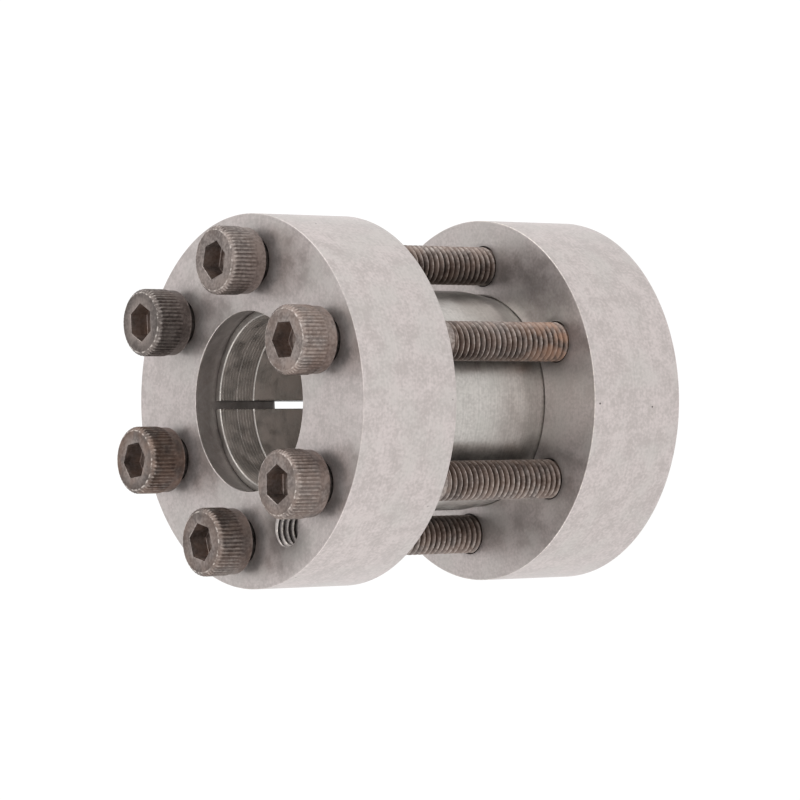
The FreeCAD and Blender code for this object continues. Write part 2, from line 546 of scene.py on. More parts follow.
class SurfaceEffects:
    """The shader node groups that the finishes share."""

    def __init__(self) -> None:
        """Build the groups once."""
        self.grain = self._grain()
        self.edge_wear = self._edge_wear()
        self.tool_marks = self._tool_marks()
        self.pits = self._pits()
        self.grime_and_shade = self._grime_and_shade()
        self.film = self._film()

    @staticmethod
    def _grain() -> bpy.types.NodeTree:
        """Mottled steel: a fine grain, soft blotches and a faint tint.

        Returns:
            The group.
        """
        recipe = GroupRecipe(
            "mottled_grain",
            {
                "Light": (0.6, 0.6, 0.6),
                "Dark": (0.4, 0.4, 0.4),
                "Tint": (0.5, 0.5, 0.5),
                "Fine Scale": 2200.0,
                "Blotch Scale": 380.0,
            },
            ("Color", "Height", "Blotch"),
        )
        given = recipe.given
        fine = recipe.noise(recipe.place, given["Fine Scale"], 3.0)
        blotch = recipe.noise(recipe.place, given["Blotch Scale"], 4.0)
        shade = recipe.math("ADD", recipe.math("MULTIPLY", fine, 0.5), recipe.math("MULTIPLY", blotch, 0.5))
        colour = recipe.mix(recipe.between(shade, 0.36, 0.64), given["Dark"], given["Light"])
        patch = recipe.noise(recipe.place, recipe.math("MULTIPLY", given["Blotch Scale"], 0.5), 3.0)
        most_tint = 0.4
        tinted = recipe.mix(recipe.between(patch, 0.42, 0.72, 0.0, most_tint), colour, given["Tint"])
        return recipe.finish({"Color": tinted, "Height": fine, "Blotch": blotch})

    @staticmethod
    def _edge_wear() -> bpy.types.NodeTree:
        """Polished edges: the surface's own wear value, broken up along the edge.

        Returns:
            The group.
        """
        recipe = GroupRecipe("edge_wear", {"Strength": 1.0, "Break Up": 1600.0}, ("Mask",))
        least = 0.08
        speckle = recipe.noise(recipe.place, recipe.given["Break Up"], 4.0)
        patches = recipe.between(speckle, 0.46, 0.62, least, 1.0)
        worn = recipe.math("MULTIPLY", recipe.mark("wear"), patches)
        mask = recipe.math("MULTIPLY", worn, recipe.given["Strength"])
        return recipe.finish({"Mask": recipe.math("MINIMUM", mask, 1.0)})

    @staticmethod
    def _tool_marks() -> bpy.types.NodeTree:
        """Lathe marks: rings on the end faces and lines round the turned sides.

        Returns:
            The group.
        """
        recipe = GroupRecipe("tool_marks", {"Lines Scale": 3000.0}, ("Lines",))
        apart = recipe.add("ShaderNodeSeparateXYZ", {0: recipe.place}).outputs
        flat = recipe.add("ShaderNodeCombineXYZ", {0: apart[0], 1: apart[1]}).outputs[0]
        radius = recipe.add("ShaderNodeVectorMath", {0: flat}, operation="LENGTH").outputs["Value"]
        normal = recipe.add("ShaderNodeNewGeometry").outputs["Normal"]
        facing = recipe.math("ABSOLUTE", recipe.add("ShaderNodeSeparateXYZ", {0: normal}).outputs[2])
        on_face = recipe.math("GREATER_THAN", facing, 0.7)
        across = recipe.add("ShaderNodeMix", {0: on_face, 2: apart[2], 3: radius}, data_type="FLOAT")
        lines = recipe.add(
            "ShaderNodeTexNoise",
            {"W": across.outputs[0], "Scale": recipe.given["Lines Scale"], "Detail": 3.0},
            noise_dimensions="1D",
        ).outputs[0]
        return recipe.finish({"Lines": lines})

    @staticmethod
    def _pits() -> bpy.types.NodeTree:
        """Small dark pits and specks, scattered unevenly.

        Returns:
            The group.
        """
        recipe = GroupRecipe("dark_pits", {"Scale": 400.0, "Size": 0.12}, ("Mask",))
        inputs = {"Vector": recipe.place, "Scale": recipe.given["Scale"]}
        cells = recipe.add("ShaderNodeTexVoronoi", inputs).outputs
        luck = recipe.add("ShaderNodeSeparateXYZ", {0: cells["Color"]}).outputs[0]
        chosen = recipe.between(luck, 0.9, 1.0)
        size = recipe.math("MULTIPLY", recipe.given["Size"], chosen)
        spot = recipe.between(cells["Distance"], size, recipe.math("MULTIPLY", size, 0.4))
        return recipe.finish({"Mask": recipe.math("MULTIPLY", spot, chosen)})

    @staticmethod
    def _grime_and_shade() -> bpy.types.NodeTree:
        """Oil, dirt and painted shade: the surface's own grime-and-shade value, patchy, laid over a colour.

        Returns:
            The group.
        """
        inputs = {"Color": (0.5, 0.5, 0.5), "Dirt And Shade": (0.02, 0.015, 0.012)}
        recipe = GroupRecipe("grime_and_shade", inputs, ("Color", "Mask"))
        # Darkens the colour where the surface is marked: real dirt, and painted shade in slits, gaps and
        # hollows
        patches = recipe.between(recipe.noise(recipe.place, 700.0, 4.0), 0.3, 0.7, 0.82, 1.1)
        mask = recipe.math("MINIMUM", recipe.math("MULTIPLY", recipe.mark("grime_and_shade"), patches), 1.0)
        colour = recipe.mix(mask, recipe.given["Color"], recipe.given["Dirt And Shade"])
        return recipe.finish({"Color": colour, "Mask": mask})

    @staticmethod
    def _film() -> bpy.types.NodeTree:
        """Dull rusty film: the surface's own rust value, cloudy, laid over a colour.

        Returns:
            The group.
        """
        recipe = GroupRecipe(
            "rust_film",
            {"Color": (0.5, 0.5, 0.5), "Rust": (0.3, 0.2, 0.15), "Scale": 420.0, "Least": 0.0},
            ("Color", "Mask"),
        )
        given = recipe.given
        clouds = recipe.noise(recipe.place, given["Scale"], 4.0)
        patches = recipe.between(clouds, 0.35, 0.62, given["Least"], 1.0)
        mask = recipe.math("MULTIPLY", recipe.mark("rust"), patches)
        colour = recipe.mix(mask, given["Color"], given["Rust"])
        return recipe.finish({"Color": colour, "Mask": mask})


@dataclass(frozen=True)
class MetalFinish:
    """What the finishes share: mottled metal under a dull film.

    Attributes:
        name: The material's name.
        light: Its lighter grain.
        dark: Its darker grain.
        tint: The colour of faint stains.
        edge: The polished edges' and crests' colour.
        film: The colour of the dull or rusty film where it is marked.
        roughness: How matte it is.
        metallic: How much of it is bare metal and not dust or oxide, from 0 to 1.
    """

    name: str
    light: Colour
    dark: Colour
    tint: Colour
    edge: Colour
    film: Colour
    roughness: float
    metallic: float

    # How metallic the film itself is
    FILM_METALLIC: ClassVar[float] = 0.05

    def _start(self) -> tuple[bpy.types.Material, Recipe]:
        """Make the empty material.

        Returns:
            The material and the recipe that fills it.
        """
        material = bpy.data.materials.new(self.name)
        material.use_nodes = True
        return material, Recipe(material.node_tree)

    def _place_grain(self, recipe: Recipe, group: bpy.types.NodeTree) -> bpy.types.Node:
        """Place the mottled grain, in this finish's colours, and return its node."""
        colours = {"Light": (*self.light, 1.0), "Dark": (*self.dark, 1.0), "Tint": (*self.tint, 1.0)}
        return recipe.add("ShaderNodeGroup", colours, node_tree=group)

    def _place_film(
        self, recipe: Recipe, group: bpy.types.NodeTree, colour: bpy.types.NodeSocket, least: float
    ) -> bpy.types.Node:
        """Place the film over a colour and return its node."""
        inputs = {"Color": colour, "Rust": (*self.film, 1.0), "Least": least}
        return recipe.add("ShaderNodeGroup", inputs, node_tree=group)

    def _uneven(self, recipe: Recipe, blotch: bpy.types.NodeSocket, spread: float) -> bpy.types.NodeSocket:
        """Vary the roughness with the blotches and return its output."""
        return recipe.between(blotch, 0.3, 0.7, self.roughness - spread, self.roughness + spread)

    def _shade(
        self,
        recipe: Recipe,
        colour: bpy.types.NodeSocket,
        roughness: bpy.types.NodeSocket,
        film: bpy.types.NodeSocket,
        relief: bpy.types.NodeSocket,
        bump: dict[str, float],
    ) -> None:
        """Finish the material with its shader.

        Args:
            recipe: The material's recipe.
            colour: Its colour.
            roughness: Its roughness.
            film: Where the film lies, which dulls the metal.
            relief: The height of its fine relief.
            bump: The relief's strength and distance.
        """
        bare = recipe.between(film, 0.0, 1.0, self.metallic, self.FILM_METALLIC)
        normal = recipe.add("ShaderNodeBump", {"Height": relief, **bump}).outputs[0]
        shader = recipe.add(
            "ShaderNodeBsdfPrincipled",
            {"Base Color": colour, "Roughness": roughness, "Metallic": bare, "Normal": normal},
        )
        recipe.add("ShaderNodeOutputMaterial", {"Surface": shader.outputs[0]})


@dataclass(frozen=True)
class SteelFinish(MetalFinish):
    """Bare turned steel, matte and mottled, with polished edges.

    Attributes:
        marks: Depth of the lathe marks, from 0 to 1.
        pit_size: Size of the dark pits in their cells.
    """

    marks: float
    pit_size: float

    PIT_COLOUR: ClassVar[Colour] = (0.03, 0.022, 0.018)
    # How much smoother the polished edges are
    POLISH: ClassVar[float] = 0.15

    def make(self, effects: SurfaceEffects) -> bpy.types.Material:
        """Build the material.

        Args:
            effects: The shared node groups.

        Returns:
            The material.
        """
        material, recipe = self._start()
        grain = self._place_grain(recipe, effects.grain).outputs
        wear = recipe.add("ShaderNodeGroup", node_tree=effects.edge_wear).outputs["Mask"]
        lines = recipe.add("ShaderNodeGroup", node_tree=effects.tool_marks).outputs["Lines"]
        pits = recipe.add("ShaderNodeGroup", {"Size": self.pit_size}, node_tree=effects.pits).outputs["Mask"]
        shade = recipe.between(lines, 0.3, 0.7, 1 - 0.5 * self.marks, 1 + 0.3 * self.marks)
        lined = recipe.add("ShaderNodeVectorMath", {0: grain["Color"], "Scale": shade}, operation="SCALE")
        film = self._place_film(recipe, effects.film, lined.outputs[0], least=0.35).outputs
        dirty_and_shaded = recipe.add("ShaderNodeGroup", {"Color": film["Color"]}, node_tree=effects.grime_and_shade)
        worn = recipe.mix(wear, dirty_and_shaded.outputs["Color"], self.edge)
        pitted = recipe.mix(pits, worn, self.PIT_COLOUR)
        roughness = self._uneven(recipe, grain["Blotch"], 0.06)
        smoothed = recipe.math("SUBTRACT", roughness, recipe.math("MULTIPLY", wear, self.POLISH))
        relief = recipe.math("ADD", grain["Height"], recipe.math("MULTIPLY", lines, self.marks * 2))
        bump = {"Strength": 0.35, "Distance": 0.01 * MM}
        self._shade(recipe, pitted, smoothed, film["Mask"], relief, bump)
        return material


@dataclass(frozen=True)
class OxideFinish(MetalFinish):
    """Black-oxide screw steel, worn brown, with bright crests and rust where it is marked."""

    # How much brighter its polished crests are than the steel's edges
    CREST_STRENGTH: ClassVar[float] = 1.25

    def make(self, effects: SurfaceEffects) -> bpy.types.Material:
        """Build the material.

        Args:
            effects: The shared node groups.

        Returns:
            The material.
        """
        material, recipe = self._start()
        grain = self._place_grain(recipe, effects.grain).outputs
        crests = {"Strength": self.CREST_STRENGTH}
        wear = recipe.add("ShaderNodeGroup", crests, node_tree=effects.edge_wear).outputs["Mask"]
        dirty_and_shaded = recipe.add("ShaderNodeGroup", {"Color": grain["Color"]}, node_tree=effects.grime_and_shade)
        worn = recipe.mix(wear, dirty_and_shaded.outputs["Color"], self.edge)
        film = self._place_film(recipe, effects.film, worn, least=0.15).outputs
        roughness = self._uneven(recipe, grain["Blotch"], 0.08)
        bump = {"Strength": 0.4, "Distance": 0.012 * MM}
        self._shade(recipe, film["Color"], roughness, film["Mask"], grain["Height"], bump)
        return material


# The pieces


@dataclass(frozen=True)
class Hole:
    """One hole through a flange.

    Attributes:
        centre: Where its axis is.
        radius: Radius of its wall, or of its thread's teeth.
        chamfer: How far its mouths are broken.
        thread: Its thread, or None for a plain hole.
        dirt_and_shade: How dark the dirt and the painted shade round its mouths are.
        dirt_and_shade_radius: How far that dirt and shade reach.
    """

    centre: Place
    radius: float
    chamfer: float
    thread: Thread | None = None
    dirt_and_shade: float = 0.0
    dirt_and_shade_radius: float = 6.6 * MM


def on_circle(radius: float, degrees: float) -> Place:
    """Give the place on a circle round the shaft axis at an angle."""
    return radius * math.cos(math.radians(degrees)), radius * math.sin(math.radians(degrees))


@dataclass
class Flange:
    """A turned steel disc with a tapered bore.

    Attributes:
        node: The CAD node that it stands for.
        nose_up: Whether the bore's narrow end is on the upper face.
        nose_radius: Radius of the bore's narrow end.
        mouth_radius: Radius of its wide end.
        edge: How far the outer edges are rounded.
        edge_wear: How brightly those edges are worn.
        mouth_edge: How far the bore's wide mouth is rounded.
        nose_edge: How far its narrow mouth is rounded.
        columns: How many columns of faces go round the disc.
        bore_marks: The marks in the bore.
        hole_marks: The marks in the plain holes.
        haze_and_shade: How dark the oily haze and the painted shade on the inner face are, or 0 for none.
        haze_and_shade_angle: Where its middle is, in degrees.
        haze_and_shade_radius: How far its middle is from the shaft axis.
        haze_and_shade_reach: How far it spreads.
        haze_and_shade_gap: How far its points keep from the holes' axes.
    """

    node: str
    nose_up: bool
    nose_radius: float = 13.224 * MM
    mouth_radius: float = 16.052 * MM
    edge: float = 0.14 * MM
    edge_wear: float = 0.22
    mouth_edge: float = 0.25 * MM
    nose_edge: float = 0.14 * MM
    columns: int = 288
    bore_marks: Marks = Marks(rust=0.5, grime_and_shade=0.36)
    hole_marks: Marks = Marks(grime_and_shade=0.4)
    haze_and_shade: float = 0.0
    haze_and_shade_angle: float = 42.0
    haze_and_shade_radius: float = 20.0 * MM
    haze_and_shade_reach: float = 9.0 * MM
    haze_and_shade_gap: float = 4.6 * MM

    def __post_init__(self) -> None:
        """Read the disc's place and size from the frame."""
        low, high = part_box(self.node)
        self.low, self.high = low.z, high.z
        self.radius = (high.x - low.x) / 2
        self.holes: list[Hole] = []

    def _haze_and_shade_at(self, place: Place) -> float:
        """Give how dark the oily haze and the painted shade are on the inner face.

        Args:
            place: The place on the face.

        Returns:
            The darkness, from 0 to 1.
        """
        if self.haze_and_shade == 0:
            return 0.0
        spread = math.dist(place, on_circle(self.haze_and_shade_radius, self.haze_and_shade_angle)) / self.haze_and_shade_reach
        return self.haze_and_shade * math.exp(-(spread**2))

    def _scatter(self, shell: Shell, height: float, bore: float) -> Loop:
        """Scatter points over a face, clear of its holes, to carry the haze and the painted shade.

        Args:
            shell: The disc's surface.
            height: The face's height.
            bore: The bore's radius in the face.

        Returns:
            The points' numbers.
        """
        rings, columns = 7, 72
        numbers = []
        for ring in range(1, rings):
            radius = bore + (self.radius - self.edge - bore) * ring / rings
            for column in range(columns):
                place = on_circle(radius, 360 * (column + ring % 2 / 2) / columns)
                room = min(math.dist(place, hole.centre) for hole in self.holes)
                if room > self.haze_and_shade_gap:
                    numbers.append(shell.point((*place, height), Marks(grime_and_shade=self._haze_and_shade_at(place))))
        return numbers

    def build(self) -> bpy.types.Object:
        """Turn the disc and cut its holes.

        Returns:
            The finished object.
        """
        shell = Shell()
        nose, mouth = (self.high, self.low) if self.nose_up else (self.low, self.high)
        corners = [
            Corner(self.nose_radius, nose, self.nose_edge, Marks(wear=0.5)),
            Corner(self.radius, nose, self.edge, Marks(wear=self.edge_wear)),
            Corner(self.radius, mouth, self.edge, Marks(wear=self.edge_wear)),
            Corner(self.mouth_radius, mouth, self.mouth_edge, Marks(wear=0.3)),
        ]
        section = rounded_section(corners)
        start, end = section[-1], section[0]
        for share in (0.02, 0.98):
            radius = start.radius + (end.radius - start.radius) * share
            height = start.height + (end.height - start.height) * share
            section.append(SectionPoint(radius, height, self.bore_marks))
        loops = [shell.ring(p.height, p.radius, self.columns, marks=p.marks) for p in section]
        mouths: dict[float, list[Loop]] = {self.low: [], self.high: []}
        bores = {z: min(p.radius for p in section if abs(p.height - z) < SAME_HEIGHT) for z in mouths}
        for hole in self.holes:
            for height, opening in zip(mouths, self._drill(shell, hole)):
                room = math.hypot(*hole.centre) - bores[height] - 0.2 * MM
                mouths[height].append(self._lay_dirt_and_shade(shell, hole, opening, height, room))
        for index, point in enumerate(section):
            after = (index + 1) % len(section)
            if abs(point.height - section[after].height) > SAME_HEIGHT:
                shell.bridge(loops[index], loops[after])
                continue
            outer, inner = sorted((index, after), key=lambda i: -section[i].radius)
            hazy_and_shaded = self.haze_and_shade > 0 and abs(point.height - mouth) < SAME_HEIGHT
            between = self._scatter(shell, point.height, bores[point.height]) if hazy_and_shaded else ()
            shell.fill(loops[outer], [loops[inner], *mouths[point.height]], between=between)
        return shell.build(self.node + "_body")

    def _drill(self, shell: Shell, hole: Hole) -> tuple[Loop, Loop]:
        """Line one hole from the lower face to the upper.

        Args:
            shell: The disc's surface.
            hole: The hole.

        Returns:
            Its loops in the lower and upper faces.
        """
        widest = hole.radius + hole.chamfer
        if hole.thread:
            def opened(radius: float, height: float) -> float:
                """Widen the thread to its countersinks.

                Args:
                    radius: The thread's own radius.
                    height: The height.

                Returns:
                    The radius to use.
                """
                depth = min(height - self.low, self.high - height)
                return max(radius, widest - depth)

            return hole.thread.cut(shell, hole.centre, self.low, self.high, opened)
        # The broken edge bulges a little, because its middle is rounded
        middle = widest - hole.chamfer * 0.6
        polished = Marks(wear=0.5)
        steps = [
            (self.low, widest, CLEAN),
            (self.low + hole.chamfer / 2, middle, polished),
            (self.low + hole.chamfer, hole.radius, self.hole_marks),
            (self.high - hole.chamfer, hole.radius, self.hole_marks),
            (self.high - hole.chamfer / 2, middle, polished),
            (self.high, widest, CLEAN),
        ]
        loops = [shell.ring(z, r, Thread.COLUMNS, hole.centre, marks) for z, r, marks in steps]
        for first, second in zip(loops, loops[1:]):
            shell.bridge(first, second)
        return loops[0], loops[-1]

    def _lay_dirt_and_shade(self, shell: Shell, hole: Hole, mouth: Loop, height: float, room: float) -> Loop:
        """Lay the dirt and the painted shade round a hole's mouth, thinning outwards.

        Args:
            shell: The disc's surface.
            hole: The hole.
            mouth: Its loop in the face.
            height: The face's height.
            room: How far from the hole's axis the face reaches.

        Returns:
            The loop where the clean face begins.
        """
        if hole.dirt_and_shade == 0:
            return mouth
        for number in mouth:
            shell.marks[number] = Marks(grime_and_shade=hole.dirt_and_shade)
        start = hole.radius + hole.chamfer
        fading = 1.3
        # The face round the hole is painted darker, thinning outwards: dirt and painted shade under the
        # screws, with the haze's painted shade added
        for share in (0.2, 0.45, 0.7, 1.0):
            radius = start + (min(hole.dirt_and_shade_radius, room) - start) * share
            ring = shell.ring(height, radius, Thread.COLUMNS, hole.centre)
            for number in ring:
                haze_and_shade = self._haze_and_shade_at(shell.points[number][:2])
                shell.marks[number] = Marks(grime_and_shade=haze_and_shade + hole.dirt_and_shade * (1 - share) ** fading)
            shell.bridge(mouth, ring)
            mouth = ring
        return mouth


@dataclass
class SplitSleeve:
    """The slit double-taper sleeve.

    Attributes:
        node: The CAD node that it stands for.
        radius: Radius of the cylinder between the tapers.
        end_radius: Radius of each taper's narrow end.
        taper_length: Length of each taper.
        bore_radius: Radius of the seat for the shafts.
        relief_radius: Radius of the bore's relieved ends.
        relief_depth: How deep each relief goes.
        slit_width: Width of the slit.
        slit_angle: Where the slit is, in degrees.
        screw_angle: Where one of the screws is, in degrees.
        oil_and_screw_shade: How dark the oil and the painted shadow and reflection of the screws are on the
            outside beside each screw.
        oil_and_screw_shade_reach: How far round it spreads, in degrees.
        mark_pitch: How far apart the reliefs' turned ridges are.
        mark_depth: How high they stand.
        columns: How many columns of faces go round the sleeve.
        bore_marks: The marks in the bore.
        slit_shade_marks: The painted shade on the slit's walls.
    """

    node: str = Body.SLEEVE.value
    radius: float = 16.7 * MM
    end_radius: float = 13.86 * MM
    taper_length: float = 17.0 * MM
    bore_radius: float = 12.5 * MM
    relief_radius: float = 12.7 * MM
    relief_depth: float = 6.2 * MM
    slit_width: float = 1.2 * MM
    slit_angle: float = 181.3
    screw_angle: float = 24.0
    # The outside beside each screw is painted darker: oil and the painted shadow and reflection of the
    # screws
    oil_and_screw_shade: float = 0.5
    oil_and_screw_shade_reach: float = 8.5
    mark_pitch: float = 0.52 * MM
    mark_depth: float = 0.05 * MM
    columns: int = 288
    bore_marks: Marks = Marks(rust=0.85)
    # The slit's walls are painted near black: painted shade in the narrow slit
    slit_shade_marks: Marks = Marks(grime_and_shade=1.0)

    def __post_init__(self) -> None:
        """Read the sleeve's place from the frame."""
        low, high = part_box(self.node)
        self.low, self.high = low.z, high.z

    def _relief(self) -> list[SectionPoint]:
        """Draw the relieved wall at the lower end, with its turned ridges.

        Returns:
            Its points, from the seat outwards.
        """
        points = []
        first = self.relief_depth - 0.25 * MM
        last = 0.3 * MM
        samples = int((first - last) / self.mark_pitch * 8)
        for index in range(samples + 1):
            depth = first + (last - first) * index / samples
            swell = 0.45 + 1.6 * abs(noise.noise(Vector((depth / MM * 1.7, 0.3, 0.7))))
            ridge = (1 - abs(math.sin(math.pi * depth / self.mark_pitch))) ** 2 * swell
            dark = 0.32 * max(0.0, 1 - ridge)
            marks = Marks(min(1.0, 0.6 * ridge), self.bore_marks.rust * (1 - 0.4 * ridge), dark)
            points.append(SectionPoint(self.relief_radius - self.mark_depth * ridge, depth, marks))
        return points

    def _section(self) -> list[SectionPoint]:
        """Draw the closed section of the wall.

        Returns:
            Its points, with heights from the lower end.
        """
        length = self.high - self.low
        outside = [
            Corner(self.end_radius, 0.0, 0.28 * MM, Marks(wear=0.3)),
            Corner(self.radius, self.taper_length, 0.5 * MM),
        ]
        corners = outside + [Corner(c.radius, length - c.height, c.broken, c.marks) for c in outside[::-1]]
        corners += [Corner(self.relief_radius, length), Corner(self.relief_radius, 0.0)]
        outer = rounded_section(corners)[:-2]
        step = self.relief_depth
        lower = [
            SectionPoint(self.bore_radius, step + 0.08 * MM, self.bore_marks),
            SectionPoint(self.bore_radius, step + 0.03 * MM, Marks(wear=0.3, rust=0.4)),
            SectionPoint(self.bore_radius + 0.03 * MM, step - 0.02 * MM, Marks(wear=0.4, rust=0.4)),
            SectionPoint(self.relief_radius, step - 0.12 * MM, Marks(rust=0.6, grime_and_shade=0.3)),
            *self._relief(),
            SectionPoint(self.relief_radius, 0.2 * MM, self.bore_marks),
            SectionPoint(self.relief_radius + 0.03 * MM, 0.12 * MM, Marks(wear=0.6, rust=0.2)),
            SectionPoint(self.relief_radius + 0.12 * MM, 0.03 * MM, Marks(wear=0.35, rust=0.3)),
            SectionPoint(self.relief_radius + 0.2 * MM, 0.0, Marks(grime_and_shade=0.2)),
        ]
        upper = [SectionPoint(p.radius, length - p.height, p.marks) for p in lower]
        return outer + upper[::-1] + lower

    def _add_oil_and_screw_shade(self, marks: Marks, angle: float) -> Marks:
        """Add the oil and the painted shadow and reflection of the screws to a point of the outside.

        Args:
            marks: The point's other marks.
            angle: Its angle from the slit.

        Returns:
            Its marks with the oil and the painted shade.
        """
        spread = (math.degrees(angle) + self.slit_angle - self.screw_angle + 30) % 60 - 30
        oil_and_screw_shade = self.oil_and_screw_shade * math.exp(-((spread / self.oil_and_screw_shade_reach) ** 2))
        return Marks(marks.wear, marks.rust, marks.grime_and_shade + oil_and_screw_shade)

    def build(self) -> bpy.types.Object:
        """Turn the sleeve with its slit open.

        Returns:
            The finished object.
        """
        section = self._section()
        shell = Shell()
        half = self.slit_width / 2
        edge = 0.06 * MM
        turned, walls = [], ([], [])
        for p in section:
            height = self.low + p.height
            begin = math.asin((half + edge) / p.radius)
            outside = p.radius > self.relief_radius + 0.5 * MM
            numbers = []
            for index in range(self.columns + 1):
                angle = begin + (FULL_TURN - 2 * begin) * index / self.columns
                place = (p.radius * math.cos(angle), p.radius * math.sin(angle), height)
                marks = self._add_oil_and_screw_shade(p.marks, angle) if outside else p.marks
                if index in (0, self.columns):
                    marks = Marks(wear=max(p.marks.wear, 0.5))
                numbers.append(shell.point(place, marks))
            turned.append(numbers)
            for wall, side in zip(walls, (1, -1)):
                across = math.sqrt(p.radius**2 - half**2)
                wall.append(shell.point((across, side * half, height), self.slit_shade_marks))
        for first, second in zip(turned, turned[1:] + turned[:1]):
            shell.bridge(first, second, closed=False)
        for end, wall in zip((0, -1), walls):
            shell.bridge([numbers[end] for numbers in turned], wall)
            shell.fill(wall, across=(0, 2))
        shell.move(Matrix.Rotation(math.radians(self.slit_angle), 4, "Z"))
        return shell.build(self.node + "_body")


